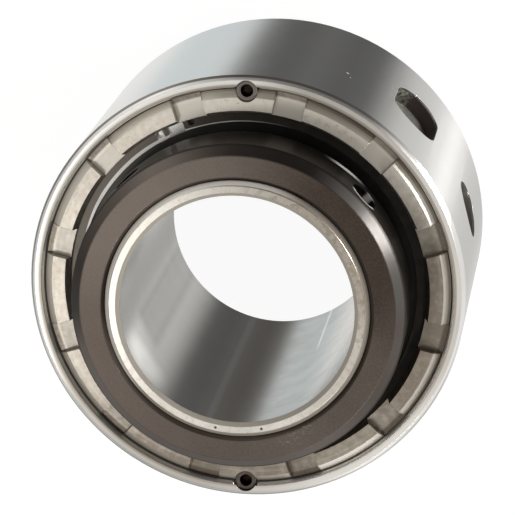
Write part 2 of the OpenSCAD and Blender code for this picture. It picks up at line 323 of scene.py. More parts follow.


# %% [markdown]
# ## The cartridge
#
# The end face was turned. How light it is around the axis is painted light and shade,
# with cloudy tone. A polish band also carries a painted highlight, a brown band of painted
# shade runs along the mouth and a dark band of painted shade runs along the outer edge.

# %% Turned end of the housing
def turned_end(steel, ground, cloud, front, mouth):
    """The turned front end over the ground colour, with painted light and shade. Returns the
    colour and the share of polish, which also carries a painted highlight."""
    place = steel.place
    # painted light and shade: the face is lighter or darker around the axis, with cloudy tone
    painted_face_light = place.around((-180, 0.6), (-165, 0.2), (-120, 0.15), (-95, 0.75), (-50, 0.85),
                         (-20, 1), (4, 1), (18, 0.15), (42, 0.25), (60, 0.9), (85, 0.7),
                         (110, 0.4), (145, 0.65), (160, 0.9))
    painted_face_light = painted_face_light + 0.35 * (cloud - 0.5)
    turned = steel.mix(painted_face_light, (0.56, 0.53, 0.49), (0.97, 0.945, 0.90))
    # partly real polish, which lowers the roughness, and partly a painted highlight in near white
    # on the left and at the top
    polish_and_highlight = place.around((-180, 0), (-125, 0), (-100, 0.8), (-60, 1), (-12, 1),
                            (2, 0.6), (12, 0))
    polish_and_highlight = polish_and_highlight * place.radius.step(mouth_r + 1.3 * MM, mouth_r + 1.7 * MM)
    polish_and_highlight = polish_and_highlight * place.z.step(face_z - 0.9 * MM, face_z - 0.6 * MM)
    turned = steel.mix(polish_and_highlight, turned, (1.0, 0.985, 0.96))
    colour = steel.mix(front.most(mouth), ground, turned)
    # painted shade: a tan-brown band along the mouth, all round but weak at the bottom
    lip = front * place.radius.step(mouth_r + 1.1 * MM, mouth_r + 0.6 * MM)
    lip = lip * place.around((-180, 0.3), (-168, 0.7), (-150, 1), (115, 1), (132, 0.3),
                             (165, 0.1))
    colour = steel.mix(lip * 0.7, colour, (0.34, 0.29, 0.24))
    # painted shade: a dark band along the outer edge of the face, darkest at the top and absent
    # on the right
    painted_edge_shade = place.radius.step(housing_r - 0.95 * MM, housing_r - 0.7 * MM)
    painted_edge_shade = painted_edge_shade * place.z.step(face_z - 1.9 * MM, face_z - 1.6 * MM)
    painted_edge_shade = painted_edge_shade * place.around((-180, 0.5), (-110, 0.5), (-75, 0.8), (0, 1), (25, 0.8),
                                 (48, 0.5), (58, 0), (98, 0), (118, 0.45), (150, 0.5))
    return steel.mix(painted_edge_shade, colour, (0.24, 0.21, 0.18)), polish_and_highlight


# %% [markdown]
# The slot and the pin hole were milled later and hold old oil. Their walls are dark from
# that oil and from painted shade, and silt lies on their floors. The slot's near end carries
# painted light in light grey specks, and there are two nicks beside it.

# %% Slot and pin hole
def oily_pockets(steel, ground, grains):
    """The pockets over the ground colour. Returns the colour and how dusty it is."""
    place = steel.place
    in_wall = place.radius.band(housing_r - 4.5 * MM, 3.7 * MM, 0.3 * MM)
    pockets = in_wall * abs(place.z).step(26 * MM, 24 * MM)
    floor = place.radius.step(housing_r - 6.1 * MM, housing_r - 6.4 * MM)
    in_pin_hole = place.clock.step(62.0, 66.0)
    # dark walls: old oil, deepened by painted shade, darkest in the slot
    wall = steel.mix(in_pin_hole, (0.055, 0.036, 0.032), (0.15, 0.125, 0.105))
    silt = steel.mix(grains, (0.12, 0.12, 0.105), (0.30, 0.30, 0.26))
    silt = steel.mix(in_pin_hole * 0.5, silt, (0.07, 0.065, 0.055))
    colour = steel.mix(pockets, ground, steel.mix(floor, wall, silt))
    # painted light: the slot's lit near end, broken into light grey specks
    painted_light_mask = place.clock.band(42.2, 2.2, 2.4) * abs(place.z + 6 * MM).step(19 * MM, 9 * MM)
    painted_light_mask = painted_light_mask * (0.35 + 0.65 * pockets) * grains.step(0.30, 0.60)
    painted_light_colour = steel.mix(grains.step(0.52, 0.70), (0.36, 0.37, 0.30), (0.84, 0.84, 0.78))
    colour = steel.mix(painted_light_mask, colour, painted_light_colour)
    nick = place.near(housing_r, 26.3, 12 * MM, 0.75 * MM)
    nick = nick.most(place.near(housing_r, 27.4, 16.5 * MM, 0.4 * MM))
    colour = steel.mix(nick * 0.7, colour, (0.80, 0.80, 0.78))
    return colour, (pockets * 0.85).most(painted_light_mask * 0.8).most(nick)


# %% [markdown]
# The outside was ground: lines a few tenths of a millimetre apart run around it, and
# they smear each reflection along the axis. The inside is dull.

# %% Ground steel of the housing
def housing_steel():
    """The whole finish of the housing."""
    steel = Metal("ground cartridge steel")
    place = steel.place
    fine = place.lathe_marks(0.22 * MM, "height")
    coarse = place.lathe_marks(1.9 * MM, "height")
    rings = place.lathe_marks(0.35 * MM, "radius")
    cloud = place.blotches(28 * MM)
    grains = place.blotches(1.6 * MM, 4.0)
    specks = grains.step(0.71, 0.76)
    outside = place.radius.step(housing_r - 0.9 * MM, housing_r - 0.35 * MM)
    front = place.z.step(face_z - 0.5 * MM, face_z - 0.2 * MM)
    inside = place.radius.step(mouth_r - 0.1 * MM, mouth_r - 0.4 * MM)
    mouth = place.radius.step(mouth_r + 0.7 * MM, mouth_r + 0.4 * MM)
    mouth = mouth * place.z.step(face_z - 0.2 * MM, face_z - 0.5 * MM)
    groove = mouth * place.z.step(face_z - 2.5 * MM, face_z - 2.9 * MM)

    level = 0.80 + 0.05 * fine + 0.04 * coarse + 0.05 * cloud
    ground = steel.mix(level, BLACK, (0.99, 0.99, 0.975))
    ground = steel.mix(specks * outside * 0.35, ground, (0.33, 0.31, 0.27))
    ended, polish_and_highlight = turned_end(steel, ground, cloud, front, mouth)
    dull = steel.mix(cloud, (0.16, 0.145, 0.125), (0.28, 0.26, 0.23))
    colour = steel.mix((1 - mouth) * inside + groove, ended, dull)
    colour, dusty = oily_pockets(steel, colour, grains)

    roughness = 0.10 + 0.06 * fine + 0.04 * cloud + 0.16 * specks + 0.35 * dusty + 0.2 * inside
    roughness = roughness + 0.26 * front + 0.1 * mouth - 0.1 * polish_and_highlight
    height = 0.6 * fine + 0.4 * rings
    return steel.finish_with(colour, roughness, height, relief=0.005, metallic=1 - dusty,
                             brushing=0.5, edge=0.3)


dress(housing_steel(), "housing")


# %% [markdown]
# ## The castellated cover
#
# The cover is turned steel with a warm tan layer from heat and old rust preventive. How
# light its lug tops are around the axis is painted light and shade, and the bevel along the
# outside of its lugs has painted highlights on two sides.

# %% Bevel of the lugs
def lug_bevel(steel):
    """The bevel, with painted highlights and painted dark shade on the right. Returns its
    colour and how far it is diffuse and not metallic."""
    place = steel.place
    # painted highlight: the bevel is near white at the lower right and the upper left, darker
    # elsewhere
    painted_bevel_light = place.around((-180, 0.35), (-145, 0.3), (-100, 0.5), (-48, 0.9), (-14, 0.95),
                        (-4, 0.3), (48, 0.1), (62, 0.7), (82, 0.4), (112, 0.45), (136, 0.6),
                        (144, 1), (166, 1), (172, 0.4))
    colour = steel.mix(painted_bevel_light, (0.50, 0.45, 0.38), (1.0, 0.945, 0.86))
    # painted shade: the outer half of the bevel is dark brown on the right
    painted_rim = place.around((-180, 0), (22, 0), (36, 1), (125, 1), (140, 0))
    painted_rim = painted_rim * place.radius.step(cover_r - 1.5 * MM, cover_r - 1.1 * MM)
    colour = steel.mix(painted_rim * 0.8, colour, (0.36, 0.315, 0.265))
    highlight_sector = place.around((-180, 0), (-55, 0), (-42, 0.7), (-16, 0.8), (-6, 0))
    diffuse_share = (0.2 + 0.8 * painted_bevel_light) * (1 - highlight_sector)
    return colour, diffuse_share


# %% [markdown]
# The notches were sawn later, so their floors are rougher, and their side walls and the
# feet of these walls carry painted shade. The clock angle is folded at every pitch, so one
# notch is worked out for all twelve.

# %% Notches
def notch_masks(steel):
    """Masks of the notches: their floors, their side walls and the feet of these walls."""
    place = steel.place
    half_pitch = math.pi / NOTCHES
    clock = place.clock * (math.pi / 180)
    turn = clock.sum("PINGPONG", clock, half_pitch)
    across = (half_pitch - turn) * place.radius
    floor_z = face_z - NOTCH_DEPTH
    notch = across.step(NOTCH_WIDTH / 2 + 0.1 * MM, NOTCH_WIDTH / 2 - 0.1 * MM)
    wall = across.band(NOTCH_WIDTH / 2 + 0.1 * MM, 0.25 * MM, 0.3 * MM)
    wall = wall * place.z.step(floor_z - 0.2 * MM, floor_z + 0.2 * MM)
    wall = wall * place.z.step(face_z - 0.05 * MM, face_z - 0.5 * MM)
    foot = wall * place.z.step(floor_z + 1.1 * MM, floor_z + 0.6 * MM)
    return notch, wall, foot


# %% [markdown]
# The tops of the lugs are tan with turned stripes and pits, and the side below them,
# where the thread is, is dark.

# %% Tan steel of the cover
def cover_steel():
    """The whole finish of the cover."""
    steel = Metal("tan cover steel")
    place = steel.place
    rings = place.lathe_marks(0.4 * MM, "radius")
    wide_rings = place.lathe_marks(1.6 * MM, "radius")
    cloud = place.blotches(11 * MM)
    grain = place.blotches(1.1 * MM, 4.0)
    below = place.z.step(face_z - 3.7 * MM, face_z - 4.2 * MM)
    outer = place.radius.step(cover_r - 0.5 * MM, cover_r - 0.2 * MM)
    bevel_r = cover_r - COVER_BEVEL
    slope = place.radius.step(bevel_r - 0.1 * MM, bevel_r + 0.15 * MM)
    notch, wall, foot = notch_masks(steel)
    corner = notch * place.radius.step(cover_r - 2.6 * MM, cover_r - 1.6 * MM)

    # painted light and shade: the tops are light at the top, darker towards the left, and dark on
    # the right and at the bottom, with cloudy and blotchy tone
    tone_mask = place.around((-180, 0), (-150, 0.05), (-118, 0.45), (-70, 0.6), (-40, 0.75),
                        (0, 1), (55, 0.95), (78, 0.15), (100, 0), (125, 0.05), (150, 0.2))
    tone_mask = tone_mask + 0.4 * (cloud - 0.5) + 0.7 * (place.blotches(2.6 * MM, 4.0) - 0.5)
    top = steel.mix(tone_mask, (0.29, 0.245, 0.20), (0.84, 0.785, 0.70))
    top = steel.mix(wide_rings.step(0.5, 0.75) * 0.3, top, (0.80, 0.75, 0.67))
    top = steel.mix(grain.step(0.60, 0.74) * 0.4, top, (0.20, 0.165, 0.13))
    # painted light: the notch floors follow the tops, a little lighter at the upper left
    painted_floor_light = place.around((-180, 0), (-130, 0.1), (-85, 0.3), (-20, 0.4), (20, 0.3),
                         (60, 0.05))
    sawn = steel.mix(tone_mask + painted_floor_light - 0.05, (0.27, 0.235, 0.19), (0.86, 0.81, 0.725))
    side = steel.mix(grain, (0.11, 0.09, 0.07), (0.26, 0.22, 0.175))
    bright, diffuse_share = lug_bevel(steel)
    colour = steel.mix(slope, top, bright)
    colour = steel.mix(notch, colour, sawn)
    # partly painted shade, where the notch floor runs out under the mouth, and partly mottled
    # oxide
    colour = steel.mix(corner * (0.55 + 0.4 * grain), colour, (0.13, 0.10, 0.08))
    # painted shade: the side walls of the notches are darkened, their feet most
    colour = steel.mix((wall * 0.35).most(foot * 0.85), colour, (0.10, 0.075, 0.055))
    colour = steel.mix(below.most(outer), colour, side)

    roughness = 0.27 + 0.10 * rings + 0.08 * grain + 0.08 * notch + 0.1 * below - 0.05 * slope
    height = 0.5 * rings + 0.3 * grain + 0.2 * wide_rings
    metallic = 1 - slope * (1 - notch) * diffuse_share
    return steel.finish_with(colour, roughness, height, metallic=metallic, brushing=0.3,
                             edge=0.3)


dress(cover_steel(), "castellated_cover")


# %% [markdown]
# ## The inner ring
#
# The bore is honed and bright, with a brown oil streak in it. Two darker bands of painted
# shade run along it, one side is blotchy and a little darker as painted shade, and there are
# painted glints: a patch near the front and two fine lines along the shaft.

# %% Honed bore
def honed_bore(steel, fine, cloud, bore):
    """The colour of the honed steel with its painted shade and glints, and of the oil on it."""
    place = steel.place
    streak = place.lathe_marks(4.5 * MM, "height")
    # painted shade: two darker bands down the left of the bore, the second only deep inside
    tone_mask = bore * place.clock.band(-92.0, 18.0, 11.0)
    deep_painted_shade = bore * place.clock.band(-114.0, 7.0, 6.0) * place.z.step(56 * MM, 40 * MM)
    # blotchy tone on the right of the bore, a little darker there as painted shade
    mottled = bore * place.clock.band(118.0, 48.0, 14.0)
    # painted glints: a bright patch near the front at the lower left and two bright lines along
    # the shaft near the bottom
    gleam = place.gap_from(BORE_R, -121.0, 68 * MM).step(15 * MM, 3 * MM) * bore
    painted_glint_lines = place.clock.band(152.5, 0.35, 0.7) * place.z.step(10 * MM, -6 * MM)
    painted_glint_lines = painted_glint_lines.most(place.clock.band(-164.0, 0.8, 2.0) * 0.35) * bore
    level = 0.57 + 0.06 * fine + 0.07 * streak + 0.07 * cloud + 0.36 * painted_glint_lines.most(gleam)
    level = level - 0.25 * tone_mask - 0.22 * deep_painted_shade
    level = level + mottled * (0.32 * (place.blotches(9 * MM, 4.0) - 0.5) - 0.05)
    honed = steel.mix(level, BLACK, (0.99, 0.975, 0.945))
    oil = place.around((-180, 1), (-168, 1), (-164, 0), (173, 0), (179, 1))
    return steel.mix(oil * bore * 0.6, honed, (0.66, 0.585, 0.53))


# %% [markdown]
# The front end of the sleeve is a narrow turned face between two bevels. Its cream
# colour is lighter or darker around the axis as painted light and shade, with pits and
# dark blotches, most of them on the right.

# %% End of the sleeve
def cream_end(steel, grain):
    """The colour of the turned end."""
    place = steel.place
    # painted light and shade: the end is cream on the left, top and bottom and darker on the
    # right, with blotchy tone
    painted_face_light = place.around((-180, 0.75), (-158, 0.9), (-140, 0.65), (-100, 0.7), (-60, 0.8),
                         (-35, 1), (-12, 0.75), (18, 0.35), (40, 0.12), (85, 0.12), (105, 0.4),
                         (138, 0.45), (160, 0.95))
    painted_face_light = painted_face_light + 0.5 * (grain - 0.5)
    cream = steel.mix(painted_face_light, (0.40, 0.345, 0.285), (0.99, 0.955, 0.885))
    cream = steel.mix(grain.step(0.62, 0.72) * 0.5, cream, (0.26, 0.215, 0.17))
    # darker blotches, most of them on the right side
    dark_blotches = place.around((-180, 0.25), (-120, 0.3), (-60, 0.1), (5, 0.2), (22, 1), (95, 1),
                           (125, 0.2))
    dark_blotches = dark_blotches * place.blotches(2.4 * MM, 4.0).step(0.50, 0.60)
    return steel.mix(dark_blotches * 0.55, cream, (0.30, 0.25, 0.20))


# %% [markdown]
# The ring puts these together and adds its two bevels, the outer one painted light on the
# left and top and painted dark elsewhere, and two punch marks on the end.

# %% Honed steel of the inner ring
def ring_steel():
    """The whole finish of the inner ring."""
    steel = Metal("honed ring steel")
    place = steel.place
    fine = place.lathe_marks(0.25 * MM, "height")
    rings = place.lathe_marks(0.3 * MM, "radius")
    cloud = place.blotches(16 * MM)
    grain = place.blotches(1.0 * MM, 4.0)
    end = place.z.step(sleeve_front_z - 0.45 * MM, sleeve_front_z - 0.1 * MM)
    bore = place.radius.step(BORE_R + 0.25 * MM, BORE_R + 0.08 * MM)
    honed = honed_bore(steel, fine, cloud, bore)
    colour = steel.mix(end, honed, cream_end(steel, grain))

    shoulder = place.radius.step(SLEEVE_R - 1.5 * MM, SLEEVE_R - 1.3 * MM)
    # painted light and shade: the outer bevel is light on the left and top and dark brown
    # elsewhere
    lit = shoulder * place.clock.band(-50.0, 60.0, 25.0)
    shoulder_light_and_shade = steel.mix(lit, (0.30, 0.26, 0.215), (0.93, 0.89, 0.82))
    colour = steel.mix(shoulder, colour, shoulder_light_and_shade)
    edge = place.radius.step(BORE_R + 1.5 * MM, BORE_R + 1.3 * MM)
    edge = edge * place.z.step(sleeve_front_z - 1.6 * MM, sleeve_front_z - 1.4 * MM)
    colour = steel.mix(edge, colour, (0.44, 0.40, 0.345))
    dull = (shoulder - lit).most(edge)
    punch_r = 46.3 * MM
    punched = place.near(punch_r, 170.5, sleeve_front_z, 0.65 * MM)
    punched = punched.most(place.near(punch_r, -168.0, sleeve_front_z, 0.65 * MM))
    colour = steel.mix(punched, colour, (0.14, 0.105, 0.08))

    roughness = 0.12 + 0.07 * fine + 0.05 * cloud + 0.15 * end + 0.2 * shoulder + 0.45 * dull
    height = 0.6 * fine + 0.4 * rings
    metallic = 1 - 0.6 * lit - dull
    return steel.finish_with(colour, roughness, height, relief=0.005, metallic=metallic,
                             brushing=0.5)


dress(ring_steel(), "inner_ring")


# %% [markdown]
# ## The lock collar
#
# Black oxide is a thin layer on turned steel, and it is scratched through low on the face. A
# bright streak on the side and glints around the right screw hole are painted highlights,
# and the holes themselves are painted black as shade.

# %% Scratches, painted glints and painted shade of the collar
def collar_wear(oxide, ground, face, side, cloud):
    """Scratches, painted glints and painted shade over the ground colour. Returns the colour
    and the share of painted glint.
    """
    place = oxide.place
    # painted shade: the screw holes are near black inside
    holes = [place.gap_from(collar_r - 2.0 * MM, clock, screw_hole_z).step(6.2 * MM, 5.7 * MM)
             for clock in COLLAR_SCREW_CLOCKS.values()]
    colour = oxide.mix(holes[0].most(holes[1]), ground, (0.012, 0.009, 0.008))
    scratches = oxide.noise(oxide.join(place.x * 700, place.y * 2600, place.z * 900), 1.0)
    scuffed = place.near(53.3 * MM, 160.5, collar_front_z, 5.5 * MM)
    scuffed = scuffed.most(place.near(51.5 * MM, 152.0, collar_front_z, 3.5 * MM))
    scuffed = scuffed * scratches.step(0.63, 0.70) * face
    colour = oxide.mix(scuffed * 0.6, colour, (0.42, 0.385, 0.345))
    # painted reflection: a bright streak on the side of the collar
    painted_sheen = place.clock.band(40.0, 1.8, 8.0) * place.z.band(56.6 * MM, 1.6 * MM, 1.2 * MM) * side
    # painted glints on the front and back edges of the right screw hole
    right_clock = COLLAR_SCREW_CLOCKS["collar_screw_right"]
    painted_rim = place.gap_from(collar_r - 0.4 * MM, right_clock, screw_hole_z)
    painted_rim = painted_rim.band(5.9 * MM, 0.5 * MM, 0.3 * MM)
    front_rim = painted_rim * place.z.step(68.6 * MM, 70.2 * MM) * cloud.step(0.30, 0.42)
    back_rim = painted_rim * place.z.step(62.6 * MM, 61.6 * MM)
    back_rim = back_rim * place.clock.step(right_clock, right_clock + 1.5)
    painted_glint = painted_sheen.most(front_rim).most(back_rim * 0.6)
    return oxide.mix(painted_glint, colour, (0.93, 0.92, 0.90)), painted_glint


# %% [markdown]
# The oxide is brown on the face and black on the side. How light the face and the bevel
# between them are around the axis is painted light and shade.

# %% Black oxide of the collar
def collar_oxide():
    """The whole finish of the collar."""
    oxide = Metal("brown-black collar oxide")
    place = oxide.place
    rings = place.lathe_marks(0.45 * MM, "radius")
    fine = place.lathe_marks(0.4 * MM, "height")
    cloud = place.blotches(14 * MM)
    grain = place.blotches(0.9 * MM, 4.0)
    face = place.z.step(collar_front_z - 0.5 * MM, collar_front_z - 0.2 * MM)
    side = place.radius.step(collar_r - 0.9 * MM, collar_r - 0.3 * MM)
    bevel = (1 - face) * (1 - side)

    # painted light and shade: the face is light brown at the upper left and near black on the
    # right, with blotchy tone
    painted_light_share = place.around((-180, 0.45), (-155, 0.5), (-90, 0.45), (-65, 0.75), (-30, 0.95),
                           (-8, 0.8), (18, 0.4), (38, 0.05), (85, 0.03), (110, 0.35),
                           (140, 0.4), (162, 0.6))
    painted_light_share = painted_light_share + 0.3 * (cloud - 0.5) + 0.5 * (grain - 0.5)
    brown = oxide.mix(painted_light_share, (0.066, 0.048, 0.039), (0.215, 0.182, 0.160))
    black = oxide.mix(cloud, (0.032, 0.027, 0.024), (0.056, 0.047, 0.042))
    colour = oxide.mix(face, black, brown)
    # painted light and shade: the bevel is lighter at the upper left, the right and the bottom,
    # and dark at the left and upper right
    painted_sheen = place.around((-180, 0.7), (-105, 0.65), (-90, 0), (-74, 0), (-60, 0.3),
                          (-45, 0.6), (-30, 1), (-15, 0.6), (0, 0.15), (30, 0.05), (44, 0.6),
                          (105, 0.55), (120, 0.33), (150, 0.45), (165, 0.65))
    slope = oxide.mix(painted_sheen + 0.25 * (cloud - 0.5), (0.043, 0.034, 0.029),
                      (0.170, 0.142, 0.125))
    # painted highlight: a neutral grey where the glint on the right falls, so that it reads white
    highlight_sector = place.clock.band(63.0, 20.0, 16.0)
    slope = oxide.mix(highlight_sector, slope, (0.130, 0.121, 0.114))
    colour = oxide.mix(bevel, colour, slope)
    colour, painted_glint = collar_wear(oxide, colour, face, side, cloud)

    roughness = 0.22 + 0.10 * grain + 0.06 * cloud + 0.10 * face
    height = 0.4 * rings + 0.3 * fine + 0.3 * grain
    return oxide.finish_with(colour, roughness, height, metallic=0.9 - 0.7 * painted_glint,
                             brushing=0.3, edge=0.35)


dress(collar_oxide(), "lock_collar")


# %% [markdown]
# The snap ring has the same oxide, lighter or darker around the axis as painted light and
# shade. Its inner edge carries a painted highlight, most of all on the left, and its two
# ends at the gap carry painted glints.

# %% Black oxide of the snap ring
def ring_oxide():
    """The finish of both snap rings."""
    oxide = Metal("black snap ring oxide")
    place = oxide.place
    rings = place.lathe_marks(0.5 * MM, "radius")
    cloud = place.blotches(6 * MM)
    # painted highlight: the inner edge is bright, in a narrow strip where light falls and a wider
    # one on the left
    thin = place.radius.step(SNAP_INNER_R + 0.5 * MM, SNAP_INNER_R + 0.2 * MM)
    reach = place.clock.band(-45.0, 9.0, 30.0)
    wide = (place.radius - SNAP_INNER_R - 1.15 * MM * reach).step(0.3 * MM, 0.0)
    wide = wide * reach.step(0.0, 0.1)
    # painted light and shade: the ring is lighter on the left and upper left and near black on
    # the right
    painted_light_share = place.around((-180, 0.4), (-130, 0.8), (-25, 0.8), (0, 0.3), (25, 0.05),
                           (130, 0.05), (160, 0.2))
    base = oxide.mix(painted_light_share + 0.3 * (cloud - 0.5), (0.030, 0.026, 0.023),
                     (0.21, 0.185, 0.160))
    # painted glints on the two ends at the gap
    ends = place.clock.band(SNAP_GAP_CLOCK - 5.4, 1.0, 0.5)
    bright = (thin * painted_light_share.step(0.1, 0.4)).most(wide).most(ends)
    colour = oxide.mix(bright, base, (0.95, 0.93, 0.90))
    roughness = 0.60 + 0.12 * cloud - 0.32 * painted_light_share
    metallic = 0.9 - 0.4 * bright + 0.5 * ends
    return oxide.finish_with(colour, roughness, rings, relief=0.012, metallic=metallic,
                             brushing=0.3, edge=0.15)


dress(ring_oxide(), "front_snap_ring", "rear_snap_ring")


# %% [markdown]
# ## Seals
#
# The case is pressed from sheet steel and varnished dark. The varnish is lighter on the
# left and top as painted light, and a painted highlight shows in the gap of the snap ring.

# %% Varnish of the seal case
def case_steel():
    """The finish of both seal cases."""
    steel = Metal("varnished seal case")
    place = steel.place
    rings = place.lathe_marks(0.8 * MM, "radius")
    cloud = place.blotches(9 * MM)
    # painted highlight: near white in the gap of the snap ring and beside one of its ends
    painted_glint = place.clock.band(SNAP_GAP_CLOCK, 3.0, 0.8)
    painted_glint = painted_glint.most(place.clock.band(SNAP_GAP_CLOCK - 5.6, 1.2, 0.5))
    painted_glint = painted_glint * place.radius.step(SNAP_INNER_R - 0.8 * MM, SNAP_INNER_R)
    # painted light and shade: the varnish is lighter on the left and top and darkest on the right
    painted_light_share = place.around((-180, 0.4), (-120, 0.7), (-20, 0.6), (5, 0.25), (25, 0), (140, 0))
    varnish = steel.mix(painted_light_share + 0.4 * (cloud - 0.5), (0.026, 0.023, 0.020),
                        (0.115, 0.105, 0.095))
    colour = steel.mix(painted_glint, varnish, (0.98, 0.97, 0.94))
    roughness = 0.30 + 0.15 * cloud - 0.14 * painted_glint
    return steel.finish_with(colour, roughness, rings, relief=0.01, metallic=0.8 + 0.2 * painted_glint,
                             edge=0.3)


dress(case_steel(), "front_seal_case", "rear_seal_case")


# %% [markdown]
# The lip ring is moulded rubber with a film of grease.

# %% Rubber of the seal lip
def lip_rubber():
    """The finish of both lip rings."""
    rubber = Metal("greased seal rubber")
    place = rubber.place
    grain = place.blotches(0.7 * MM, 5.0)
    tone_mask = place.blotches(9 * MM)
    colour = rubber.mix(tone_mask, (0.012, 0.012, 0.012), (0.028, 0.027, 0.026))
    roughness = 0.45 + 0.25 * grain
    return rubber.finish_with(colour, roughness, grain, metallic=0.0, edge=0.3, coat=0.15)


dress(lip_rubber(), "front_seal_lip", "rear_seal_lip")


# %% [markdown]
# ## Races, rollers and cages
#
# These are closed in by the seals, and they show only when the bearing is taken apart.
# The rolling surfaces are lapped almost to a mirror, and the cages are turned brass.

# %% Inner finishes
def race_steel():
    """Lapped steel of the cups and the rollers."""
    steel = Metal("lapped race steel")
    place = steel.place
    fine = place.lathe_marks(0.3 * MM, "height")
    cloud = place.blotches(7 * MM)
    colour = steel.mix(cloud, (0.62, 0.63, 0.64), (0.76, 0.77, 0.78))
    roughness = 0.09 + 0.06 * fine + 0.05 * cloud
    return steel.finish_with(colour, roughness, fine, relief=0.003, edge=0.2)


def cage_brass():
    """Turned brass of the cages."""
    brass = Metal("turned cage brass")
    place = brass.place
    fine = place.lathe_marks(0.5 * MM, "height")
    cloud = place.blotches(8 * MM)
    colour = brass.mix(cloud, (0.56, 0.40, 0.17), (0.74, 0.57, 0.29))
    roughness = 0.24 + 0.12 * fine
    return brass.finish_with(colour, roughness, fine, relief=0.012)


rollers = sorted(name for name in nodes if "_roller_" in name)
dress(race_steel(), "front_cup", "rear_cup", *rollers)
dress(cage_brass(), "front_cage", "rear_cage")


# %% [markdown]
# ## Pieces made of points
#
# What is made here stays at the origin unturned, as the solids do, so a piece is turned
# and shifted by its points. Doubled points are merged before it is shaded.

# %% Making a piece
def add_object(name, data):
    """An object at the origin, in the scene."""
    made = bpy.data.objects.new(name, data)
    bpy.context.scene.collection.objects.link(made)
    return made


def new_piece(name, points, faces):
    """An object whose mesh has those points and faces."""
    mesh = bpy.data.meshes.new(name)
    mesh.from_pydata(points, [], faces)
    return add_object(name, mesh)


def join_and_smooth(mesh):
    """Merges doubled points, turns every face outwards and shades them smooth."""
    work = bmesh.new()
    work.from_mesh(mesh)
    bmesh.ops.remove_doubles(work, verts=work.verts, dist=1e-7)
    bmesh.ops.recalc_face_normals(work, faces=work.faces)
    work.to_mesh(mesh)
    work.free()
    for face in mesh.polygons:
        face.use_smooth = True


def settle(piece, turn, place):
    """Turns and shifts a piece's points, so that its object stays at the origin."""
    piece.data.transform(Matrix.Translation(place) @ turn.to_4x4())
    piece.data.update()


def turn_to(direction):
    """The rotation that points Z in a direction of the XY plane, with X along the shaft."""
    out = np.array([*direction, 0.0])
    along = np.array([0.0, 0.0, 1.0])
    side = np.cross(out, along)
    return Matrix(np.stack([along, side, out], axis=1).tolist())


def posed(across, upward, backward, place):
    """The matrix of a camera or lamp that has those three axes and stands at place."""
    rows = np.stack([across, upward, backward, place], axis=1).tolist()
    return Matrix([*rows, [0.0, 0.0, 0.0, 1.0]])


# %% [markdown]
# ## Socket set screws with real threads
#
# A thread is a helix: walking once around the screw lifts the profile by one pitch. So
# the radius of a point depends on its height less its share of a turn. The same grid
# carries on over the bevelled head and down into the hexagon socket, where the radius
# is that of a hexagon instead of a circle.

# %% A screw as one grid
def closed_grid(name, points):
    """A piece from points[row, column], closed around the columns, with its first and last
    rows on the axis."""
    rows, columns = points.shape[:2]
    first = np.arange(rows - 1)[:, None] * columns
    here = np.arange(columns)[None, :]
    beside = (here + 1) % columns
    quads = np.stack([first + here, first + beside, first + columns + beside,
                      first + columns + here], axis=-1).reshape(-1, 4)
    piece = new_piece(name, points.reshape(-1, 3).tolist(), quads.tolist())
    join_and_smooth(piece.data)
    return piece


def set_screw(name, length, radius, key, pitch):
    """A set screw along Z, its point at 0 and its head at length.

    The height and the radius of each row come from a profile: flat point, cone, thread,
    head bevel, head face, socket bevel, socket wall and socket floor. In the threaded
    rows the radius loses the depth of a 60 degree thread, as a triangle wave of the
    height divided by the pitch, less the angle divided by a full turn. In the socket
    rows the radius is the hexagon's: half the key size divided by the cosine of the
    angle to the nearest flat."""
    columns = 96
    angle = np.linspace(0, 2 * np.pi, columns, endpoint=False)
    depth = 0.54 * pitch
    bevel = 0.11 * radius
    tip = radius * 0.5
    cone = radius - tip
    thread = np.linspace(cone, length - bevel, int((length - bevel - cone) / pitch * 12))
    hexagon = key / 2 / np.cos((angle + np.pi / 6) % (np.pi / 3) - np.pi / 6)

    run_in = np.clip((thread - cone) / pitch, 0, 1)
    run_out = np.clip((length - bevel - thread) / pitch, 0, 1)
    fade = run_in * run_out
    phase = (thread[:, None] / pitch - angle[None, :] / (2 * np.pi)) % 1.0
    wave = np.abs(2 * phase - 1)
    threaded = radius - depth * fade[:, None] * np.clip(1.35 * wave - 0.15, 0, 1)

    socket_mouth = key / 2 * 1.22
    socket_depth = 0.45 * length
    rows = [(0.0, 0.0), (0.0, tip * 0.55), (0.12 * tip, tip)]
    rows += list(zip(thread, threaded))
    rows += [
        (length - bevel * 0.45, radius - bevel * 0.4),
        (length - bevel * 0.1, radius - bevel * 0.8),
        (length, radius - bevel * 1.3),
        (length, socket_mouth + 0.06 * key),
        (length - 0.02 * key, socket_mouth),
        (length - 0.10 * key, np.minimum(socket_mouth, hexagon * 1.04)),
        (length - 0.16 * key, hexagon),
        (length - socket_depth, hexagon),
        (length - socket_depth - 0.05 * key, hexagon * 0.8),
        (length - socket_depth - 0.22 * key, 0.0)]
    height = np.array([row[0] for row in rows])
    spread = np.array([np.broadcast_to(row[1], columns) for row in rows])
    points = np.stack([spread * np.cos(angle), spread * np.sin(angle),
                       np.repeat(height[:, None], columns, axis=1)], axis=-1)
    return closed_grid(name, points)


# %% [markdown]
# The mouth of the cartridge shows the first turns of the thread that holds the cover. It
# is a thin sleeve here, laid on the wall of the mouth in two arcs, which leave the holes
# of the lock screws free.

